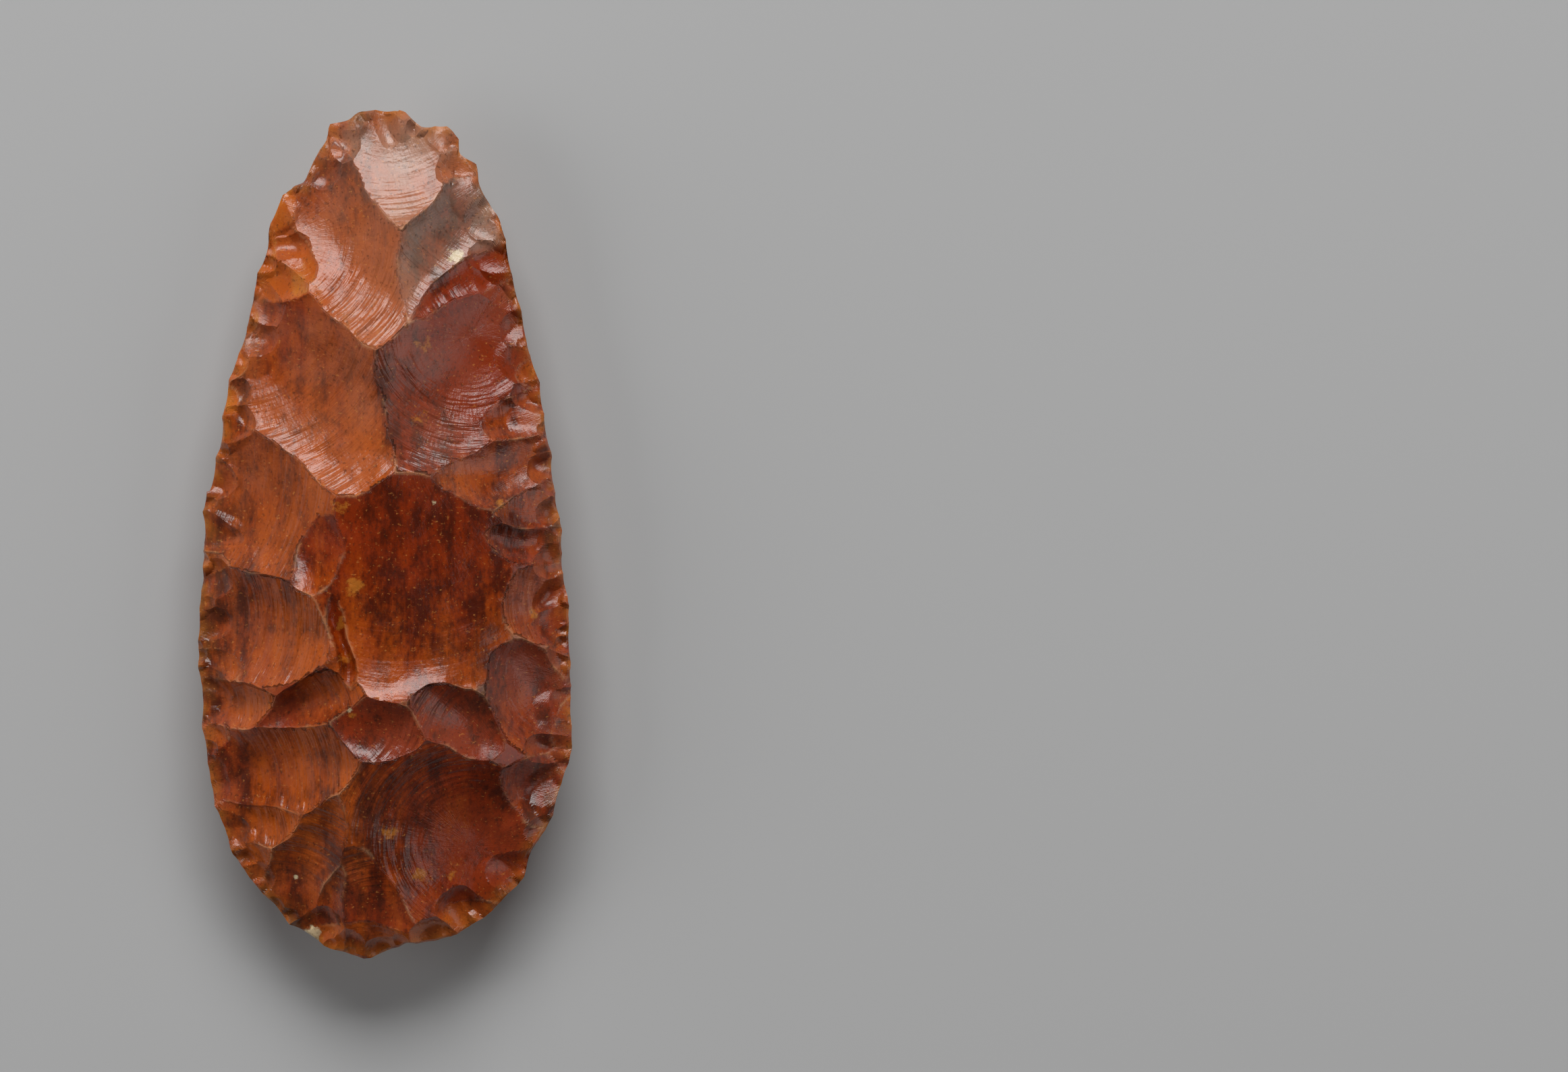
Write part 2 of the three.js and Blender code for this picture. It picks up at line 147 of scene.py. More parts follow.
# %% Flakes of the back face
LOWER_FLAKES = {
    "tip": (0.7, 0.85, 0.7, [
        [26, 118, -8, 121, 18, 3, 0.5], [32, 110, 8, 104, 13, 2.9, 0.5],
        [-24, 121, 25, 95, 18, 4.4, 0.5]]),
    "tip sides": (0.85, 0.15, 0.6, [
        [42, 50, -8, 100, 38, 5, 0.5], [12, 92, 24, 40, 26, 4.4, 0.5]]),
    "tip chips": (0.7, 0.4, 0.4, [
        [-24, 110, -12, 108, 9, 2.2], [-25, 103, -5, 101, 9, 2.6], [-14, 102, -9, 89, 8, 2.4],
        [34, 102, 20, 93, 12, 2.8], [37, 96, 28, 64, 10, 3.4, 0.5]]),
    "left shoulder": (0.9, 0.15, 0.7, [
        [-38, 80, 9, 50, 25, 4.6, 0.5, 0, 3], [-40, 97, -4, 80, 16, 4.2, 0.5], [-36, 97, -14, 97, 9, 3],
        [-44, 84, -18, 76, 13, 4], [-42, 67, -12, 62, 12, 3.9], [-50, 53, -8, 51, 19, 4.6, 0.5],
        [-52, 41, -5, 41, 17, 4.2, 0.5], [-58, 28, 2, 25, 28, 4.8, 0.5]]),
    "middle": (0.62, 0.0, 0.2, [
        [-8, 62, 4, 36, 23, 3.8, 0.5], [2, 52, 12, 14, 18, 3.6, 0.5], [4, 34, -6, -40, 48, 1.8, 0.5],
        [22, 46, 21, -10, 22, 3, 0.5], [27, -6, 10, -54, 25, 3, 0.5], [-14, -26, 14, -46, 26, 3.6, 0.5],
        [-18, 16, -26, -26, 15, 3.2, 0.5]]),
    "right side": (0.3, 0.3, 0.4, [
        [37, 52, 35, 18, 11, 3.6, 0.5], [52, 44, 37, 36, 20, 3.6, 0.5], [54, 25, 35, 21, 17, 3.4, 0.5],
        [40, 48, 24, 40, 10, 2.6], [56, 16, 23, -8, 26, 4.2, 0.5], [60, -2, 42, -3, 13, 3.6],
        [60, -17, 39, -17, 20, 4, 0.5], [42, -4, 22, -28, 22, 3.6, 0.5], [64, -36, 29, -33, 26, 4.6, 0.5],
        [66, -56, 34, -55, 22, 4.4, 0.5], [42, -50, 16, -54, 34, 4, 0.5], [56, -74, 36, -70, 14, 3.4]]),
    "left side": (0.65, 0.1, 0.6, [
        [-52, -5, -22, -5, 48, 4.4, 0.5], [-54, -33, -26, -36, 24, 3.4, 0.5], [-62, 9, -41, 6, 20, 4],
        [-64, -14, -40, -15, 23, 4.2], [-64, -36, -39, -36, 22, 4.4], [-62, -52, -34, -52, 17, 4],
        [-60, -66, -34, -64, 16, 4], [-54, -92, -36, -87, 14, 3.2], [-58, -80, -14, -76, 20, 4.3, 0.5],
        [-42, -63, -4, -62, 22, 3.4, 0.5], [-34, -36, -27, -60, 14, 3.6, 0.5],
        [-28, -20, -8, -56, 26, 4.6, 0.5]]),
    "butt": (0.5, 0.15, 0.7, [
        [48, -94, 14, -74, 34, 4.6, 0.5], [22, -66, -10, -58, 36, 3.6, 0.5],
        [18, -72, -2, -86, 26, 3.4, 0.5], [24, -122, 0, -84, 30, 4.6, 0.5],
        [38, -108, 14, -104, 15, 3.4], [-4, -116, -12, -68, 18, 3.8, 0.5],
        [-4, -128, -7, -102, 23, 4], [-42, -110, -13, -84, 28, 4.6, 0.5],
        [-36, -118, -14, -110, 16, 3.8]]),
}

# %% [markdown]
# ## Reading a flake
# For any place on the face we ask each flake two things: what share of its run lies behind that place, and
# how far the place is from its middle line. The scoop's depth follows from those two by one round formula.
# NumPy works on all the places at once, which is hundreds of times faster than a Python loop over them.

# %% Wandering rims
def waves(seed, count, shortest, longest, steepness):
    """A few seeded plane waves. Long ones are higher, so that all are about equally steep."""
    random = np.random.default_rng(seed)
    lengths = np.geomspace(shortest, longest, count)
    turns = random.uniform(0, 2 * math.pi, (2, count))
    return [(math.cos(turn) / length, math.sin(turn) / length, phase, steepness * length)
            for turn, phase, length in zip(*turns, lengths)]


def wave_height(some_waves, x, y):
    return sum(height * np.sin(2 * math.pi * (ahead * x + up * y) + phase)
               for ahead, up, phase, height in some_waves)


RIM_WAVES_X = waves(seed=3, count=9, shortest=2.5, longest=12, steepness=0.009)
RIM_WAVES_Y = waves(seed=4, count=9, shortest=2.5, longest=12, steepness=0.009)


def wandered(x, y):
    """No scar is a perfect oval: its rim wanders from side to side, widely and in fine steps."""
    wide_x = 0.9 * np.sin(0.17 * y + 1.3 * np.sin(0.11 * x)) + 0.4 * np.sin(0.41 * y + 0.23 * x + 2)
    wide_y = 0.9 * np.sin(0.19 * x + 1.1 * np.sin(0.09 * y) + 1) + 0.4 * np.sin(0.37 * x - 0.29 * y)
    return x + wide_x + wave_height(RIM_WAVES_X, x, y), y + wide_y + wave_height(RIM_WAVES_Y, x, y)


# %% Scoops
class Flake:
    """One struck flake, with the looks of its group."""

    def __init__(self, numbers, warm=0.4, grey=0.0, ripple=0.0, rings=None):
        plain = [0.45, 0.0, 2.0]
        given = list(numbers) + plain[len(numbers) - 6:]
        self.x, self.y, end_x, end_y, self.width, self.depth = given[:6]
        self.belly, self.lean, self.end = given[6:]
        self.run = math.hypot(end_x - self.x, end_y - self.y)
        self.along = ((end_x - self.x) / self.run, (end_y - self.y) / self.run)
        self.warm, self.grey, self.ripple = warm, grey, ripple
        self.rings = rings or (self.x, self.y)
        self.bite = BITE_SHARE * self.depth

    def place(self, x, y):
        """Share of the run behind each place, and its distance to the middle line."""
        share = ((x - self.x) * self.along[0] + (y - self.y) * self.along[1]) / self.run
        aside = (x - self.x) * self.along[1] - (y - self.y) * self.along[0]
        return share, aside - self.lean * self.width * (share - self.belly)

    def scoop(self, x, y):
        """Depth of the scoop at each place, negative outside it."""
        share, aside = self.place(x, y)
        before = share < self.belly
        reach = np.where(before, self.belly, 1 - self.belly)
        lengthwise = (np.abs(share - self.belly) / reach) ** np.where(before, 2.0, self.end)
        return self.depth * (1 - lengthwise - (2 * aside / self.width) ** 2)


# The shock spreads from the place that was struck, but where a flake turned, the rings bend around another.
RING_MIDDLES = {"petal": (-30, 83), "heart right": (24, 56), "waist right": (46, 22), "big": (25, -87),
                "waist left": (-88, 24)}


def flakes_of(groups, ring_middles):
    return [Flake(numbers, *looks, ring_middles.get(name))
            for name, (*looks, rows) in groups.items() for numbers in rows]


upper_flakes = flakes_of(UPPER_FLAKES, RING_MIDDLES)
lower_flakes = flakes_of(LOWER_FLAKES, {})
print(len(upper_flakes), "flakes on the front and", len(lower_flakes), "on the back")


# %% [markdown]
# ## The outline
# The outline is a closed curve through the few points that its shape needs, and it lies between a round curve
# and straight steps, because a chipped edge has corners. We read it as a distance from the middle for each
# direction. Each flake also took a small bite out of the edge where it was struck.

# %% Outline
OUTLINE = [
    (-1, 120.3), (5.6, 120.2), (10, 115.8), (13.5, 115.4), (18, 115.8), (21, 112.8), (21, 108.6),
    (25.8, 105.2), (26.6, 100), (29.8, 94.4), (32.8, 90), (35, 80), (38.6, 65.5), (41.2, 54),
    (44, 45), (46.1, 31), (48.1, 16.5),
    (50.7, 1), (50.4, -10), (52.9, -25), (52.5, -38), (53.2, -60), (50.3, -71), (47, -81),
    (41.4, -91), (39.5, -97), (33, -104.5), (24, -111.5), (14.5, -115.6), (6, -115.6), (-4, -120),
    (-15, -117), (-27, -110), (-34, -102), (-39, -97), (-45.2, -85), (-49.9, -71), (-51.6, -56),
    (-53, -38), (-53.4, -22), (-52, -5), (-51.6, 9), (-47.6, 26), (-45.2, 42), (-40, 58),
    (-37.4, 70), (-33.4, 82.5), (-32.6, 88.8), (-28.4, 96.8), (-23, 100.4), (-20.6, 106.6), (-16.8, 112.6),
    (-15.8, 117.2), (-10.5, 118.2), (-7.5, 119.9)]
OUTLINE_ROUND = 0.4    # 0 joins the points by straight lines, 1 by a round curve


def smooth_closed(points, steps=12):
    """A Catmull-Rom curve, partly straightened: it passes through every point."""
    p1 = np.array(points, float)[:, None, :]
    p0, p2, p3 = np.roll(p1, 1, 0), np.roll(p1, -1, 0), np.roll(p1, -2, 0)
    t = np.linspace(0, 1, steps, endpoint=False)[None, :, None]
    curve = p1 + 0.5 * t * (p2 - p0 + t * (2 * p0 - 5 * p1 + 4 * p2 - p3 + t * (3 * (p1 - p2) + p3 - p0)))
    straight = p1 + t * (p2 - p1)
    return (OUTLINE_ROUND * curve + (1 - OUTLINE_ROUND) * straight).reshape(-1, 2)


outline_curve = smooth_closed(OUTLINE)
curve_angle = np.arctan2(outline_curve[:, 1], outline_curve[:, 0])
curve_radius = np.hypot(outline_curve[:, 0], outline_curve[:, 1])


def bites(flakes, x, y, furthest_back=-9.0):
    """How far the flakes bite into the outline at each place."""
    deepest = np.zeros_like(x)
    for flake in flakes:
        share, aside = flake.place(x, y)
        near = (share < BITE_START) & (share > furthest_back)
        deepest = np.maximum(deepest, np.where(near, flake.bite * (1 - (2 * aside / flake.width) ** 2), 0))
    return deepest


def plain_edge_radius(angle):
    return np.interp(angle, curve_angle[np.argsort(curve_angle)], curve_radius[np.argsort(curve_angle)],
                     period=2 * math.pi)


print("outline:", len(outline_curve), "steps")

# %% [markdown]
# ## Retouch
# After the big flakes the knapper trimmed the whole edge with light taps, and use broke off more. That left
# rows of little scars along the edge of each face. Nobody places those by hand: they are a loop along the
# outline with seeded random sizes, so that every run of this script gives the same stone.
# A trimming flake takes the edge itself away. So its depth is a share of the height that the face has over
# the edge there: the scar is a hollow facet that starts at the edge, rises slowly inwards and ends in a step.
# Where the stone is thin, such a scar bends the edge itself, which is why a real edge zigzags.

# %% Small flakes along the edge
RETOUCH_ROWS = [
    # how many, width low and high, run low and high, depth as a share of the height, low and high
    (44, (8.0, 14.0), (7.0, 14.0), (0.4, 0.75)),
    (80, (3.5, 7.0), (2.5, 6.0), (0.4, 0.8)),
]
RETOUCH_SLANT = 0.7   # how far a flake's run may lean along the edge
STRUCK_OUTSIDE = 0.6  # millimetres outside the edge where a scar starts
SMALL_BITE = 0.09     # how far a small flake bites into the outline, as a share of its width
BEND_HEIGHT = 2.0     # millimetres that a scar as deep as can be would bend the edge
STEP_POWER = 4.0      # more makes the step at a small scar's end steeper


def retouch(seed):
    """Small flakes struck from all round the edge, pointing roughly inwards."""
    random = np.random.default_rng(seed)
    steps = np.roll(outline_curve, -1, 0) - outline_curve
    lengths = np.hypot(steps[:, 0], steps[:, 1])
    travelled = np.cumsum(lengths)
    small = []
    for count, widths, runs, rises in RETOUCH_ROWS:
        for number in range(count):
            where = (number + random.uniform(0, 1)) / count * travelled[-1]
            step = int(np.searchsorted(travelled, where)) % len(steps)
            forward = steps[step] / lengths[step]
            inward = np.array([forward[1], -forward[0]])
            heading = inward + forward * random.uniform(-RETOUCH_SLANT, RETOUCH_SLANT)
            heading /= np.hypot(*heading)
            start = outline_curve[step] - heading * STRUCK_OUTSIDE
            end = outline_curve[step] + heading * random.uniform(*runs)
            flake = Flake([*start, *end, random.uniform(*widths), random.uniform(*rises)])
            flake.bite = SMALL_BITE * flake.width
            small.append(flake)
    return small


def hollow_share(flake, x, y):
    """What share of the face's height the small flake takes at each place, negative outside it."""
    share, aside = flake.place(x, y)
    lengthwise = np.clip(share, 0, 3) ** STEP_POWER + 9 * np.maximum(-share - 1, 0)
    return flake.depth * (1 - lengthwise - (2 * aside / flake.width) ** 2)


upper_retouch = retouch(seed=11)
lower_retouch = retouch(seed=23)
print(len(upper_retouch) + len(lower_retouch), "small flakes along the edge")

# %% The edge, bitten by every flake
def edge_radius(angle):
    radius = plain_edge_radius(angle)
    x, y = radius * np.cos(angle), radius * np.sin(angle)
    large = bites(upper_flakes + lower_flakes, x, y)
    small = bites(upper_retouch + lower_retouch, x, y, furthest_back=-0.8)
    return radius - large - small


fine_angles = np.linspace(-math.pi, math.pi, 4001)
fine_radii = edge_radius(fine_angles)
print("the edge lies", round(fine_radii.min(), 1), "to", round(fine_radii.max(), 1), "mm from the middle")

# %% [markdown]
# ## The height of a face
# A face is its dome, less the deepest scoop, less the deepest retouch scar, and it closes onto the edge over
# the last half millimetre. The back is cut off level at height 0: that is the small flat spot it lies on.

# %% Domes and scars
def end_shares(y, level):
    return (np.clip((y - level) / (TIP_END - level), 0, 1), np.clip((level - y) / (level - BUTT_END), 0, 1))


def dome_height(x, y, rise):
    narrow_tip, narrow_butt = end_shares(y, WIDEST_Y)
    thin_tip, thin_butt = end_shares(y, THICKEST_Y)
    half_width = HALF_WIDTH * (1 - narrow_tip ** 1.7) ** 0.5 * (1 - narrow_butt ** 3) ** 0.62
    lengthwise = (1 - thin_tip ** 2) ** 0.9 * (1 - thin_butt ** 3) ** 0.85
    across = 1 - np.minimum(1, np.abs(x) / np.maximum(half_width, 1)) ** SIDE_ROUNDNESS
    return rise * lengthwise * across


def scoops(flakes, x, y):
    """The depth of every scoop at every place, after a first row of zeros for the bare dome."""
    x, y = wandered(x, y)
    return np.stack([np.zeros_like(x)] + [flake.scoop(x, y) for flake in flakes])


def smoothstep(value, low, high):
    t = np.clip((value - low) / (high - low), 0, 1)
    return t * t * (3 - 2 * t)


FACES = {
    1: (UPPER_RISE, UPPER_SCARS, upper_flakes, upper_retouch),
    -1: (LOWER_RISE, LOWER_SCARS, lower_flakes, lower_retouch),
}


# Very low, wide waves, so that no part of a scar is perfectly even.
UNEVEN = waves(seed=8, count=8, shortest=9, longest=30, steepness=0.003)


def main_height(x, y, side):
    """The face over the edge with its large scars, before the edge was trimmed."""
    rise, scars, large, small = FACES[side]
    plain = dome_height(x, y, rise)
    taken = scars * scoops(large, x, y).max(0) / (plain + SCAR_FADE)
    slowed = (1 - SCAR_KNEE) * np.exp((SCAR_KNEE - taken) / (1 - SCAR_KNEE))
    left = plain * np.where(taken < SCAR_KNEE, 1 - taken, slowed)
    return left + wave_height(UNEVEN, x, y) * smoothstep(plain, 1, 6)


def trimmings(x, y, side):
    """How much each small flake takes off at every place, after a first row of zeros."""
    before = np.maximum(main_height(x, y, side), 0.02)
    x, y = wandered(x, y)
    return np.stack([np.zeros_like(x)] + [before * hollow_share(flake, x, y) for flake in FACES[side][3]])


def edge_bend(x, y):
    """Small scars bend the thin edge: those of the front lower it, and those of the back lift it."""
    x, y = wandered(x, y)
    bend = np.zeros_like(x)
    for side, (rise, scars, large, small) in FACES.items():
        deepest = np.zeros_like(x)
        for flake in small:
            deepest = np.maximum(deepest, hollow_share(flake, x, y))
        bend -= side * BEND_HEIGHT * deepest
    return bend


def face_height(x, y, side):
    angle = np.arctan2(y, x)
    edge = np.interp(angle, fine_angles, fine_radii)
    inwards = np.maximum(0, edge - np.hypot(x, y))
    wave = 0.6 * np.sin(3 * angle + 0.7) + 0.4 * np.sin(5 * angle + 2.1) + 0.3 * np.sin(11 * angle)
    middle = EDGE_HEIGHT + EDGE_WAVE * wave * (1 - inwards / edge) ** 2 + edge_bend(x, y)
    left = np.maximum(main_height(x, y, side) - trimmings(x, y, side).max(0), 0)
    closing = smoothstep(inwards, 0, EDGE_CLOSING)
    thickness = closing * left + EDGE_WEDGE * np.minimum(inwards, 2 * EDGE_CLOSING)
    return np.maximum(0, middle + side * thickness)


probe = face_height(np.zeros(1), np.zeros(1), 1)[0]
print("the middle of the front face is", round(float(probe), 1), "mm up")

# %% [markdown]
# ## The mesh
# A square grid is bent into the outline, so its rim is the axe's edge, and both faces share that rim: the
# stone is closed without any seam. Two tricks keep the ridges crisp with few triangles. A point close to a
# ridge is moved onto it, and each little square is cut along the diagonal that lies closer to the surface.

# %% Grid
COLUMNS = 146
ROWS = 332
HALF_LENGTH = 120     # of the plain oval that the grid starts from, in millimetres
RIDGE_PULL = 0.33
FOLD_LIMIT = 0.06     # square millimetres

along, across = np.meshgrid(np.linspace(-1, 1, ROWS + 1), np.linspace(-1, 1, COLUMNS + 1), indexing="ij")
disc_x = across * np.sqrt(1 - along ** 2 / 2)
disc_y = along * np.sqrt(1 - across ** 2 / 2)
flat_x, flat_y = HALF_WIDTH * disc_x, HALF_LENGTH * disc_y
grid_angle = np.arctan2(flat_y, flat_x)
ellipse = 1 / np.hypot(np.cos(grid_angle) / HALF_WIDTH, np.sin(grid_angle) / HALF_LENGTH)
is_rim = (np.abs(along) == 1) | (np.abs(across) == 1)
is_spike = (fine_radii[1:-1] > fine_radii[:-2]) & (fine_radii[1:-1] >= fine_radii[2:])
for spike in fine_angles[1:-1][is_spike]:
    closest = np.argmin(np.abs(grid_angle[is_rim] - spike))
    grid_angle[tuple(index[closest] for index in np.nonzero(is_rim))] = spike
edge_here = np.interp(grid_angle, fine_angles, fine_radii)
stretch = 1 + (edge_here / ellipse - 1) * np.hypot(disc_x, disc_y) ** 4
grid_x, grid_y = flat_x * stretch, flat_y * stretch
grid_x[is_rim] = (edge_here * np.cos(grid_angle))[is_rim]
grid_y[is_rim] = (edge_here * np.sin(grid_angle))[is_rim]
print(grid_x.size, "grid points,", int(is_rim.sum()), "of them on the edge")


# %% Ridges
def two_deepest(depths):
    """For each place the numbers of the deepest and second deepest cut."""
    order = np.argpartition(-depths, 1, axis=0)[:2]
    pair = np.take_along_axis(depths, order, axis=0)
    swap = pair[1] > pair[0]
    return np.where(swap, order[1], order[0]), np.where(swap, order[0], order[1])


def lead_of(depths, first, second):
    """By how much the first cut is deeper than the second."""
    return (np.take_along_axis(depths, first[None], 0) - np.take_along_axis(depths, second[None], 0))[0]


def pull_to_ridges(depths_at, x, y, reach):
    """Moves the places that lie close to a ridge onto it."""
    first, second = two_deepest(depths_at(x, y))
    step = 0.02

    def lead(px, py):
        return lead_of(depths_at(px, py), first, second)

    slope_x = (lead(x + step, y) - lead(x - step, y)) / (2 * step)
    slope_y = (lead(x, y + step) - lead(x, y - step)) / (2 * step)
    steepness = np.maximum(slope_x ** 2 + slope_y ** 2, 1e-9)
    move = lead(x, y) / steepness
    near = (np.abs(move) * np.sqrt(steepness) < reach) & ~is_rim
    return np.where(near, x - move * slope_x, x), np.where(near, y - move * slope_y, y)


def unfolded(x, y):
    """Takes back the moves that would fold a little square over, or nearly so."""
    for attempt in range(4):
        corner_x = np.stack([x[:-1, :-1], x[:-1, 1:], x[1:, 1:], x[1:, :-1]])
        corner_y = np.stack([y[:-1, :-1], y[:-1, 1:], y[1:, 1:], y[1:, :-1]])
        on_x, on_y = np.roll(corner_x, -1, 0) - corner_x, np.roll(corner_y, -1, 0) - corner_y
        turn = on_x * np.roll(on_y, -1, 0) - on_y * np.roll(on_x, -1, 0)
        folded = turn.min(0) < FOLD_LIMIT
        touched = np.zeros_like(is_rim)
        for rows in (slice(None, -1), slice(1, None)):
            for columns in (slice(None, -1), slice(1, None)):
                touched[rows, columns] |= folded
        x, y = np.where(touched, grid_x, x), np.where(touched, grid_y, y)
    return x, y


face_points = {}
for side, (rise, scars, large, small) in FACES.items():
    x, y = pull_to_ridges(lambda px, py: trimmings(px, py, side), grid_x, grid_y, RIDGE_PULL)
    x, y = pull_to_ridges(lambda px, py: scoops(large, px, py), x, y, RIDGE_PULL)
    x, y = unfolded(x, y)
    face_points[side] = (x, y, face_height(x, y, side))
    print("front" if side > 0 else "back", "face: highest point", round(float(face_points[side][2].max()), 1))


# %% [markdown]
# ## What each point knows
# The finish of a struck surface depends on the flake that made it: how far the shock had run, how strong its
# ripples are, how grey its skin has weathered. We store those as attributes on the mesh's points. Geometry
# nodes and the material read them later by name, and they stay with the surface wherever it goes.

# %% Attributes
# Small marks of the real stone: x, y, reach and strength, for the front and the back.
ORANGE_SPOTS = {
    1: [(-7, -14, 3.2, 1), (10.5, -95, 2.6, 1), (-11, 8, 3, 0.8), (2, -83, 2.6, 0.9), (11, 53, 3.4, 0.7),
        (42, -22, 1.7, 1), (-11, -25, 2.2, 1), (-9.5, -34, 2, 0.9), (33, 9, 1.6, 0.9), (0, -45, 1.2, 0.8),
        (24, 42, 4, 0.5), (11, 33, 3, 0.7), (-8, -50, 1.3, 0.9), (19, -95, 2, 0.8)],
    -1: [(10, -45, 4, 0.5), (-12, 10, 4, 0.5), (0, 60, 4, 0.5)],
}
PALE_SPOTS = {
    1: [(20, 78.5, 2.6, 1), (-20, -112, 3, 1), (-24.8, -95.7, 0.9, 1), (15, 9, 0.9, 0.9), (12, 118, 2, 0.6),
        (31, 5, 0.9, 0.7), (-8.4, -48.5, 0.8, 0.9)],
    -1: [(17, -4.5, 1.8, 1), (21, -5.5, 2, 1), (25, -4, 1.3, 1)],
}


def spotted(spots, x, y):
    """How strongly the marks show at each place."""
    shown = np.zeros_like(x)
    for spot_x, spot_y, reach, strength in spots:
        away = ((x - spot_x) ** 2 + (y - spot_y) ** 2) / reach ** 2
        shown = np.maximum(shown, strength * np.exp(-away))
    return shown


BARE_DOME = [0, -200, 0, 200, 100, 1]    # where no flake was struck: read as one plain flake along the axe
FAN_RADIUS = 40    # millimetres from the struck place, where one step of the fan is one millimetre
BACK_WARMTH = 0.2  # the back face is more orange all over
LOOK_BLUR = 0.5    # millimetres of depth over which the look of one scar changes into the next one's


def point_facts(side, x, y):
    rise, scars, large, small = FACES[side]
    depths = scoops(large, x, y)
    first, second = two_deepest(depths)
    lead = lead_of(depths, first, second)
    owner = [Flake(BARE_DOME)] + large
    run, share, fan = np.zeros_like(x), np.zeros_like(x), np.zeros_like(x)
    for number, flake in enumerate(owner):
        mine = first == number
        from_x, from_y = x[mine] - flake.rings[0], y[mine] - flake.rings[1]
        run[mine] = np.hypot(from_x, from_y)
        share[mine] = flake.place(x[mine], y[mine])[0]
        ahead = from_x * flake.along[0] + from_y * flake.along[1]
        aside = from_x * flake.along[1] - from_y * flake.along[0]
        fan[mine] = FAN_RADIUS * np.arctan2(aside, ahead) + number * 7.3
    tiny = trimmings(x, y, side).max(0)
    inwards = np.interp(np.arctan2(y, x), fine_angles, fine_radii) - np.hypot(x, y)
    calm = smoothstep(lead, 0.02, 0.35) * smoothstep(inwards, 1.0, 4.0) * (tiny <= 0)
    strength = np.array([flake.ripple for flake in owner])[first]
    nearness = np.exp((depths - depths.max(0)) / LOOK_BLUR)
    nearness /= nearness.sum(0)

    def blurred(look):
        return np.tensordot([getattr(flake, look) for flake in owner], nearness, 1)

    thickness = dome_height(x, y, UPPER_RISE) / UPPER_RISE
    return {
        "ripple": strength * calm * (0.3 + 0.7 * smoothstep(share, 0.25, 0.8)) * smoothstep(run, 8, 30),
        "run": run,
        "fan": fan,
        "grey": blurred("grey"),
        # the tone of each scar's group: partly the stone's own, partly painted light and shade
        "warm": blurred("warm") + (BACK_WARMTH if side < 0 else 0),
        # nearness to a ridge; the flint paints a highlight along ridges from it
        "ridge": 1 - smoothstep(lead, 0.0, 0.22),
        "thin": 1 - thickness,
        "share": share,
        "margin": np.exp(-inwards / 2.5),
        "spot": spotted(ORANGE_SPOTS[side], x, y),
        "pale": spotted(PALE_SPOTS[side], x, y),
    }


facts = {side: point_facts(side, *face_points[side][:2]) for side in FACES}
print("each point carries", ", ".join(facts[1]))


# %% Stone mesh
def split_squares(numbers, heights, x, y, side):
    """Cuts every square into two triangles along the better diagonal."""
    a, b = numbers[:-1, :-1], numbers[:-1, 1:]
    d, c = numbers[1:, :-1], numbers[1:, 1:]
    centre_x = (x[:-1, :-1] + x[:-1, 1:] + x[1:, :-1] + x[1:, 1:]) / 4
    centre_y = (y[:-1, :-1] + y[:-1, 1:] + y[1:, :-1] + y[1:, 1:]) / 4
    wanted = face_height(centre_x, centre_y, side)
    miss_ac = np.abs((heights[:-1, :-1] + heights[1:, 1:]) / 2 - wanted)
    miss_bd = np.abs((heights[:-1, 1:] + heights[1:, :-1]) / 2 - wanted)
    cut_ac = miss_ac <= miss_bd
    cut_ac[0, 0] = cut_ac[-1, -1] = True
    cut_ac[0, -1] = cut_ac[-1, 0] = False
    one = np.where(cut_ac[..., None], np.stack([a, b, c], -1), np.stack([a, b, d], -1))
    two = np.where(cut_ac[..., None], np.stack([a, c, d], -1), np.stack([b, c, d], -1))
    triangles = np.concatenate([one.reshape(-1, 3), two.reshape(-1, 3)])
    return triangles if side > 0 else triangles[:, ::-1]


upper_numbers = np.arange(grid_x.size).reshape(grid_x.shape)
lower_numbers = upper_numbers.copy()
lower_numbers[~is_rim] = grid_x.size + np.arange(int((~is_rim).sum()))
faces = []
for side, numbers in ((1, upper_numbers), (-1, lower_numbers)):
    x, y, z = face_points[side]
    heights = np.where(is_rim, face_points[1][2], z)
    faces.append(split_squares(numbers, heights, x, y, side))
vertices = np.concatenate([
    np.stack([values.ravel() for values in face_points[1]], -1),
    np.stack([values[~is_rim] for values in face_points[-1]], -1)])
vertices *= MM
middle = (vertices.min(0) + vertices.max(0)) / 2
vertices[:, 0] += (axe_low.x + axe_high.x) / 2 - middle[0]
vertices[:, 1] += (axe_low.y + axe_high.y) / 2 - middle[1]

stone_mesh = bpy.data.meshes.new("knapped_stone")
stone_mesh.from_pydata(vertices.tolist(), [], np.concatenate(faces).tolist())
stone_mesh.shade_smooth()
for name in facts[1]:
    values = np.concatenate([facts[1][name].ravel(), facts[-1][name][~is_rim]])
    stone_mesh.attributes.new(name, "FLOAT", "POINT").data.foreach_set("value", values.astype(np.float32))
stone = bpy.data.objects.new("knapped_stone", stone_mesh)
bpy.context.scene.collection.objects.link(stone)
print("stone:", len(stone_mesh.vertices), "points,", len(stone_mesh.polygons), "triangles")

# %% [markdown]
# ## Ripples, with geometry nodes
# The shock that drives a flake off leaves rings on the scar, like a stone dropped in water, and they grow
# stronger towards the far end. Sculpting hundreds of rings by hand is hopeless, but they follow a rule, so
# a small node tree moves every point along its normal by a sine of the distance that the shock had run.
# A noise bends the rings and lets them fade in and out. The tree's sizes are its named inputs.

# %% Ripple tree
def add_node(tree, kind, **inputs):
    """A new node with its inputs set: a socket is linked, anything else becomes the default value."""
    node = tree.nodes.new(kind)
    for name, value in inputs.items():
        set_input(tree, node, name, value)
    return node


def set_input(tree, node, name, value):
    key = int(name[1:]) if name[0] == "i" and name[1:].isdigit() else name.replace("_", " ")
    if isinstance(value, bpy.types.NodeSocket):
        tree.links.new(value, node.inputs[key])
    else:
        node.inputs[key].default_value = value


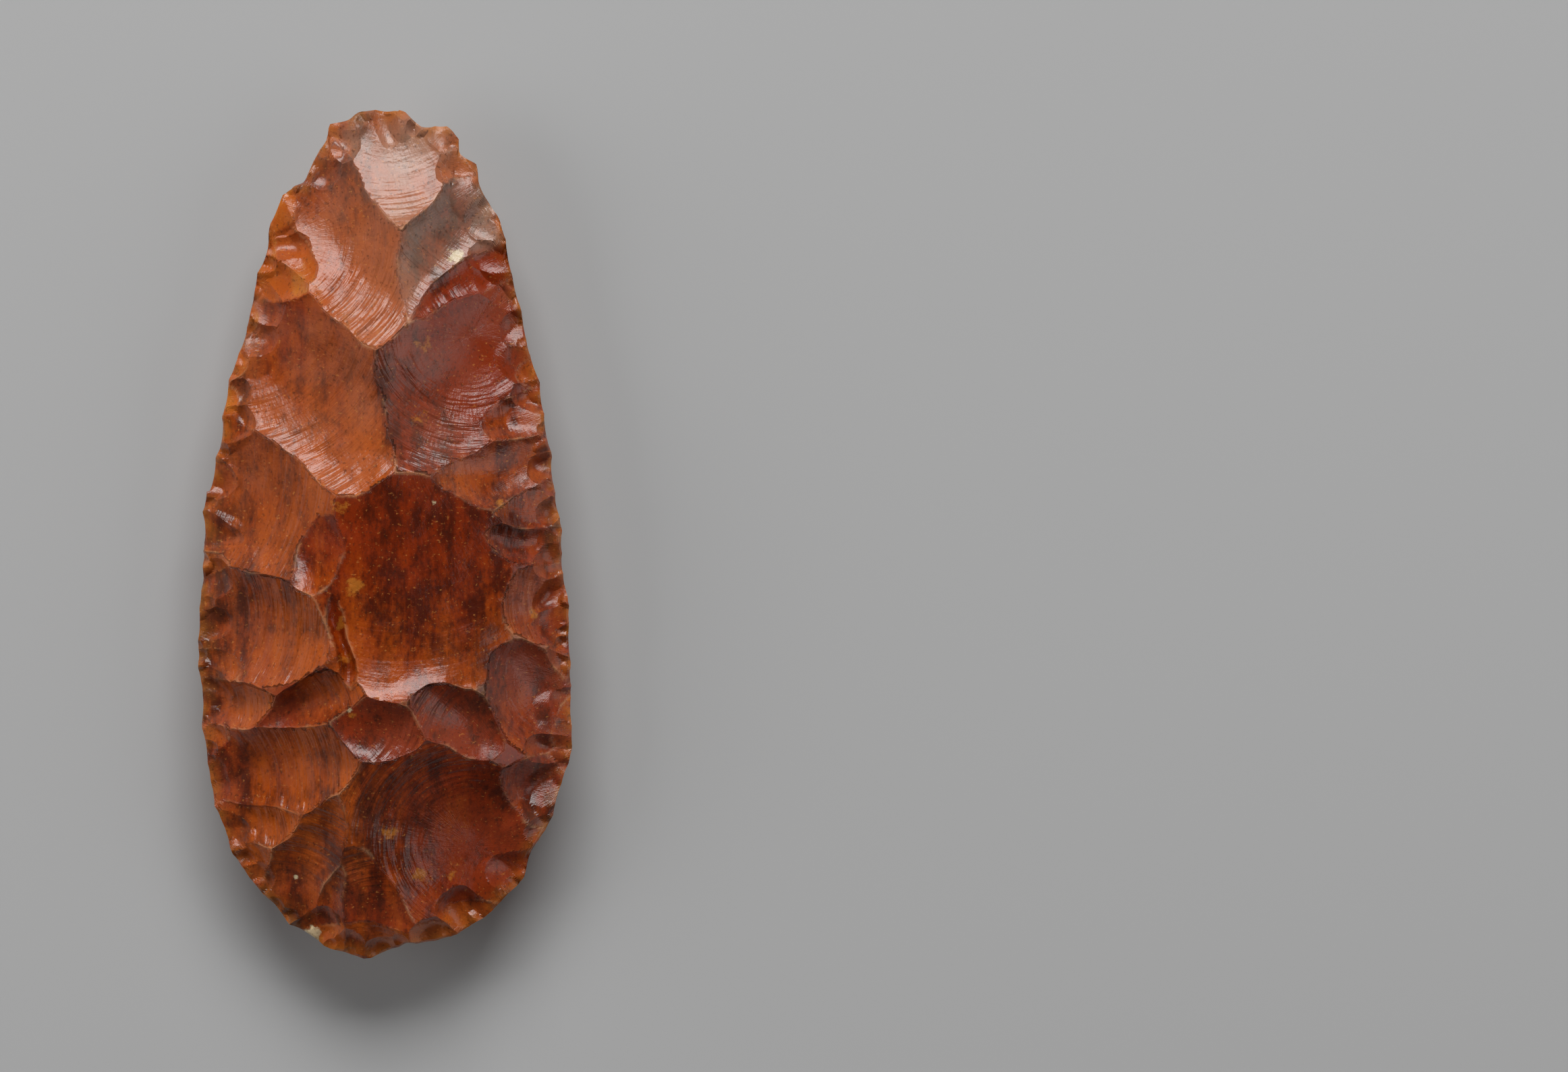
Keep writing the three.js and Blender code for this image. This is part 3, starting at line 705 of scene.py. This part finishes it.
def sum_up(tree, operation, first, second=0.0, third=None, clamp=False):
    """A Math node."""
    node = add_node(tree, "ShaderNodeMath", i0=first, i1=second)
    if third is not None:
        set_input(tree, node, "i2", third)
    node.operation = operation
    node.use_clamp = clamp
    return node.outputs[0]


def build_ripple_tree(finish):
    tree = bpy.data.node_groups.new("shock_ripples", "GeometryNodeTree")
    tree.interface.new_socket("Geometry", in_out="INPUT", socket_type="NodeSocketGeometry")
    for name, value in (("Ripple Height", 0.34 * MM), ("Ripple Spacing", 5.6), ("Fine Height", 0.1 * MM),
                        ("Fine Spacing", 3.1), ("Bend", 5.0), ("Grain Height", 0.02 * MM)):
        socket = tree.interface.new_socket(name, in_out="INPUT", socket_type="NodeSocketFloat")
        socket.default_value = value
    tree.interface.new_socket("Geometry", in_out="OUTPUT", socket_type="NodeSocketGeometry")
    given = tree.nodes.new("NodeGroupInput").outputs

    def attribute(name):
        node = tree.nodes.new("GeometryNodeInputNamedAttribute")
        node.data_type = "FLOAT"
        node.inputs["Name"].default_value = name
        return node.outputs["Attribute"]

    place = tree.nodes.new("GeometryNodeInputPosition").outputs[0]
    bend = add_node(tree, "ShaderNodeTexNoise", Vector=place, Scale=90.0, Detail=2.0).outputs[0]
    fade = add_node(tree, "ShaderNodeTexNoise", Vector=place, Scale=55.0, Detail=1.0).outputs[0]
    grain = add_node(tree, "ShaderNodeTexNoise", Vector=place, Scale=420.0, Detail=3.0).outputs[0]
    distance = sum_up(tree, "MULTIPLY_ADD", sum_up(tree, "SUBTRACT", bend, 0.5), given["Bend"],
                      attribute("run"))

    def rings(spacing, height, blur):
        turns = sum_up(tree, "MULTIPLY", sum_up(tree, "DIVIDE", distance, spacing), 2 * math.pi)
        wave = sum_up(tree, "SINE", turns)
        patch = sum_up(tree, "MULTIPLY", sum_up(tree, "SUBTRACT", fade, blur), 4.0, clamp=True)
        return sum_up(tree, "MULTIPLY", sum_up(tree, "MULTIPLY", wave, height), patch)

    lift = sum_up(tree, "ADD", rings(given["Ripple Spacing"], given["Ripple Height"], 0.36),
                  rings(given["Fine Spacing"], given["Fine Height"], 0.45))
    lift = sum_up(tree, "MULTIPLY", lift, attribute("ripple"))
    lift = sum_up(tree, "MULTIPLY_ADD", sum_up(tree, "SUBTRACT", grain, 0.5), given["Grain Height"], lift)
    height = add_node(tree, "ShaderNodeSeparateXYZ", Vector=place).outputs["Z"]
    off_the_floor = sum_up(tree, "MULTIPLY", height, 1 / MM, clamp=True)
    lift = sum_up(tree, "MULTIPLY", lift, off_the_floor)
    push = add_node(tree, "ShaderNodeVectorMath", i0=tree.nodes.new("GeometryNodeInputNormal").outputs[0])
    push.operation = "SCALE"
    tree.links.new(lift, push.inputs["Scale"])
    moved = add_node(tree, "GeometryNodeSetPosition", Geometry=given["Geometry"], Offset=push.outputs[0])
    real = add_node(tree, "GeometryNodeRealizeInstances", Geometry=moved.outputs[0])
    painted = add_node(tree, "GeometryNodeSetMaterial", Geometry=real.outputs[0], Material=finish)
    tree.links.new(painted.outputs[0], tree.nodes.new("NodeGroupOutput").inputs[0])
    return tree


# %% [markdown]
# ## The flint
# Flint is glassy. Its colour lies a little under the surface: dark red-brown where the stone is thick, amber
# where it thins towards the edge, with faint upright bands of the bed it grew in. A few scars have a greyer,
# milky skin. Part of the colour is painted light and shade: each scar's tone is partly set by how lit it is,
# each scar is painted lighter towards its far end, and a painted highlight runs along the ridges. We build
# the colour in layers, from wide to fine, and read all of it in object coordinates or from the point
# attributes, so that the pattern stays on the stone from every side.

# %% Flint colours
DEEP_RED = (0.075, 0.008, 0.001, 1)
BROWN = (0.24, 0.023, 0.001, 1)
ORANGE = (0.42, 0.075, 0.003, 1)
AMBER = (0.52, 0.18, 0.02, 1)
GREY_SKIN = (0.36, 0.24, 0.17, 1)
# the colour of a painted highlight along the ridges
PAINTED_RIDGE_HIGHLIGHT = (0.66, 0.34, 0.16, 1)
PALE_CRUST = (0.62, 0.50, 0.30, 1)
SPECK_DARK = (0.035, 0.012, 0.006, 1)
SPECK_LIGHT = (0.66, 0.26, 0.06, 1)
LEAST_ROUGHNESS = 0.14
ROUGHNESS_SPREAD = 0.24
GLOSS = 0.48
GRAIN_DEPTH = 0.1 * MM


def build_flint():
    flint = bpy.data.materials.new("flint")
    flint.use_nodes = True
    tree = flint.node_tree
    shader = tree.nodes["Principled BSDF"]
    place = tree.nodes.new("ShaderNodeTexCoord").outputs["Object"]

    def attribute(name):
        node = tree.nodes.new("ShaderNodeAttribute")
        node.attribute_name = name
        return node.outputs["Fac"]

    def noise(scale, detail=2.0, stretch=(1, 1, 1), roughness=0.5):
        where = add_node(tree, "ShaderNodeMapping", Vector=place, Scale=stretch).outputs[0]
        texture = add_node(tree, "ShaderNodeTexNoise", Vector=where, Scale=scale, Detail=detail,
                           Roughness=roughness)
        return texture.outputs[0]

    def between(value, low, high):
        node = add_node(tree, "ShaderNodeMapRange", Value=value, From_Min=low, From_Max=high)
        node.interpolation_type = "SMOOTHSTEP"
        return node.outputs[0]

    def mix(amount, first, second, how="MIX"):
        node = tree.nodes.new("ShaderNodeMix")
        node.data_type = "RGBA"
        node.blend_type = how
        for socket, value in ((node.inputs[0], amount), (node.inputs[6], first), (node.inputs[7], second)):
            if isinstance(value, bpy.types.NodeSocket):
                tree.links.new(value, socket)
            else:
                socket.default_value = value
        return node.outputs[2]

    bands = noise(26, 5, (3.2, 0.35, 1.5), 0.62)
    clouds = noise(22, 4, roughness=0.6)
    thin = sum_up(tree, "MULTIPLY_ADD", sum_up(tree, "SUBTRACT", clouds, 0.5), 1.4, attribute("thin"))
    mottles = sum_up(tree, "SUBTRACT", noise(150, 5, (1.3, 0.8, 1), 0.65), 0.5)
    flecks = sum_up(tree, "SUBTRACT", noise(520, 4, (1.4, 0.7, 1), 0.6), 0.5)
    patches = sum_up(tree, "ADD", mottles, sum_up(tree, "MULTIPLY", flecks, 0.6))
    redness = sum_up(tree, "MULTIPLY_ADD", patches, 0.9, bands)
    redness = sum_up(tree, "ADD", redness, sum_up(tree, "SUBTRACT", clouds, 0.5))
    body = mix(between(redness, 0.25, 0.65), DEEP_RED, BROWN)
    # Each scar group's tone is partly the stone's own colour and partly painted light and shade: lit scars
    # lighter, shaded scars darker.
    warmth = sum_up(tree, "MULTIPLY_ADD", thin, 0.25, attribute("warm"))
    # Painted light and shade: every scar is painted lighter towards its far end, where a scar turns up into
    # the light, and darker near where it was struck.
    warmth = sum_up(tree, "MULTIPLY_ADD", sum_up(tree, "SUBTRACT", attribute("share"), 0.6), 0.8, warmth)
    warmth = sum_up(tree, "MULTIPLY_ADD", patches, 0.7, warmth)
    warmth = sum_up(tree, "MULTIPLY_ADD", sum_up(tree, "SUBTRACT", bands, 0.5), 0.9, warmth)
    streaks = sum_up(tree, "SUBTRACT", noise(80, 5, (2.6, 0.3, 1), 0.6), 0.5)
    warmth = sum_up(tree, "MULTIPLY_ADD", streaks, 0.8, warmth)
    ragged = sum_up(tree, "SUBTRACT", noise(330, 5, roughness=0.7), 0.5)
    spot = between(sum_up(tree, "MULTIPLY_ADD", ragged, 2.4, attribute("spot")), 0.45, 0.85)
    body = mix(between(warmth, 0.15, 0.9), body, ORANGE)
    body = mix(between(warmth, 0.85, 1.5), body, AMBER)
    grey = sum_up(tree, "MULTIPLY", attribute("grey"), between(noise(45, 4), 0.25, 0.7))
    body = mix(sum_up(tree, "MULTIPLY", grey, 0.85), body, GREY_SKIN)
    margin = sum_up(tree, "MULTIPLY", attribute("margin"), between(noise(200, 3), 0.3, 0.7))
    body = mix(sum_up(tree, "MULTIPLY", margin, 0.6), body, AMBER)
    body = mix(sum_up(tree, "MULTIPLY", spot, 0.6), body, AMBER)
    pale = between(sum_up(tree, "MULTIPLY_ADD", ragged, 2.0, attribute("pale")), 0.45, 0.75)
    body = mix(sum_up(tree, "MULTIPLY", pale, 0.85), body, PALE_CRUST)
    # A painted highlight: a pale line along parts of the ridges, where light would glint on them.
    ridge = sum_up(tree, "MULTIPLY", attribute("ridge"), between(noise(90, 4), 0.46, 0.68))
    body = mix(sum_up(tree, "MULTIPLY", ridge, 0.4), body, PAINTED_RIDGE_HIGHLIGHT)
    dark_specks = between(noise(1100, 3, (1.2, 0.8, 1)), 0.56, 0.72)
    body = mix(sum_up(tree, "MULTIPLY", dark_specks, 0.5), body, SPECK_DARK)
    light_specks = between(noise(1000, 3, (1, 1.3, 1)), 0.62, 0.74)
    body = mix(sum_up(tree, "MULTIPLY", light_specks, 0.4), body, SPECK_LIGHT)
    tree.links.new(body, shader.inputs["Base Color"])

    rough = sum_up(tree, "MULTIPLY_ADD", noise(160, 4), ROUGHNESS_SPREAD, LEAST_ROUGHNESS)
    tree.links.new(rough, shader.inputs["Roughness"])
    shader.inputs["IOR"].default_value = 1.5
    shader.inputs["Specular IOR Level"].default_value = GLOSS
    shock = tree.nodes.new("ShaderNodeCombineXYZ")
    tree.links.new(sum_up(tree, "MULTIPLY", attribute("fan"), 0.9), shock.inputs["X"])
    tree.links.new(sum_up(tree, "MULTIPLY", attribute("run"), 0.12), shock.inputs["Y"])
    hackles = add_node(tree, "ShaderNodeTexNoise", Vector=shock.outputs[0], Scale=1.0, Detail=2.0,
                       Roughness=0.6).outputs[0]
    grain = sum_up(tree, "MULTIPLY_ADD", hackles, 0.7, noise(1000, 3))

    def rings(closeness, height, before):
        where = tree.nodes.new("ShaderNodeCombineXYZ")
        tree.links.new(sum_up(tree, "MULTIPLY", attribute("run"), closeness), where.inputs["X"])
        tree.links.new(sum_up(tree, "MULTIPLY", attribute("fan"), 0.06 * closeness), where.inputs["Y"])
        wave = add_node(tree, "ShaderNodeTexNoise", Vector=where.outputs[0], Scale=1.0, Detail=2.0).outputs[0]
        wave = sum_up(tree, "MULTIPLY", sum_up(tree, "SUBTRACT", wave, 0.5), attribute("ripple"))
        return sum_up(tree, "MULTIPLY_ADD", wave, height, before)

    grain = rings(0.35, 16.0, rings(0.9, 8.0, grain))
    grain = add_node(tree, "ShaderNodeBump", Height=grain, Strength=1.0, Distance=GRAIN_DEPTH)
    tree.links.new(grain.outputs[0], shader.inputs["Normal"])
    return flint


flint = build_flint()
print("flint has", len(flint.node_tree.nodes), "nodes")

# %% [markdown]
# ## Freezing the ripples
# The modifier is only a recipe. We read the finished mesh out of it and drop the modifier, so that the axe is
# one plain mesh that any program can use.

# %% Apply the ripple tree
SHARP_RIDGE = 17    # degrees between two triangles

ripple_tree = build_ripple_tree(flint)
recipe = stone.modifiers.new("ripples", "NODES")
recipe.node_group = ripple_tree
for item in ripple_tree.interface.items_tree:
    if item.item_type == "SOCKET" and item.in_out == "INPUT" and item.socket_type == "NodeSocketFloat":
        recipe[item.identifier] = item.default_value
seen = bpy.context.evaluated_depsgraph_get()
finished = bpy.data.meshes.new_from_object(stone.evaluated_get(seen), preserve_all_data_layers=True,
                                           depsgraph=seen)
stone.modifiers.clear()
stone.data = finished
finished.set_sharp_from_angle(angle=math.radians(SHARP_RIDGE))
print("finished stone:", len(finished.vertices), "points,", len(finished.polygons), "triangles,",
      len(finished.materials), "material")

# %% The stone takes the solid's place
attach(stone, "root")
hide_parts("hand_axe")

# %% [markdown]
# ## Floor, light and camera
# A plain pale floor and soft light show a glossy stone best. The large panel stands past the tip, so every
# surface that turns towards the tip catches it, and the scars read as hollows. Two weak panels open up the
# sides. The camera looks straight down with a long lens, which keeps the outline true.

# %% Floor
FLOOR_SIZE = 6.0
floor_mesh = bpy.data.meshes.new("floor")
half = FLOOR_SIZE / 2
floor_mesh.from_pydata([(-half, -half, 0), (half, -half, 0), (half, half, 0), (-half, half, 0)], [],
                       [(0, 1, 2, 3)])
floor = bpy.data.objects.new("floor", floor_mesh)
bpy.context.scene.collection.objects.link(floor)
paper = bpy.data.materials.new("grey_paper")
paper.use_nodes = True
paper.node_tree.nodes["Principled BSDF"].inputs["Base Color"].default_value = (0.45, 0.45, 0.45, 1)
paper.node_tree.nodes["Principled BSDF"].inputs["Roughness"].default_value = 0.9
floor_mesh.materials.append(paper)


# %% Lights
def panel(name, place, aim, size, power):
    """A soft rectangular light that faces a point."""
    light = bpy.data.lights.new(name, "AREA")
    light.shape = "RECTANGLE"
    light.size, light.size_y = size
    light.energy = power
    holder = bpy.data.objects.new(name, light)
    bpy.context.scene.collection.objects.link(holder)
    holder.location = place
    direction = np.array(aim) - np.array(place)
    holder.rotation_euler = Vector(direction).to_track_quat("-Z", "Y").to_euler()
    return holder


stone_middle = [(low + high) / 2 for low, high in zip(axe_low, axe_high)]
panel("key_panel", (0.1, 2.4, 1.95), stone_middle, (2.6, 1.5), 101)
left_panel = panel("left_panel", (-1.6, -0.1, 0.75), stone_middle, (1.2, 1.2), 11)
panel("right_panel", (1.6, -0.3, 0.85), stone_middle, (1.2, 1.2), 5)
left_panel.visible_glossy = False

world = bpy.data.worlds.new("soft_room")
world.use_nodes = True
world.node_tree.nodes["Background"].inputs["Color"].default_value = (1, 1, 1, 1)
world.node_tree.nodes["Background"].inputs["Strength"].default_value = 0.05
bpy.context.scene.world = world
bpy.context.scene.view_settings.view_transform = "Standard"

# %% Camera
LENS = 150
SENSOR = 36
FRAME_WIDTH = 440.2 * MM    # what the picture takes in at the height of the edge
BELOW_MIDDLE = 0.6 * MM     # the camera aims this far below the axe's middle
AXE_FROM_LEFT = 0.2455      # the axe's middle, as a share of the picture's width

camera_data = bpy.data.cameras.new("camera")
camera_data.lens = LENS
camera_data.sensor_width = SENSOR
camera = bpy.data.objects.new("camera", camera_data)
bpy.context.scene.collection.objects.link(camera)
distance = FRAME_WIDTH * LENS / SENSOR
camera.location = (stone_middle[0] + FRAME_WIDTH * (0.5 - AXE_FROM_LEFT), stone_middle[1] - BELOW_MIDDLE,
                   EDGE_HEIGHT * MM + distance)
bpy.context.scene.camera = camera
print("camera", round(distance, 2), "m above the edge")
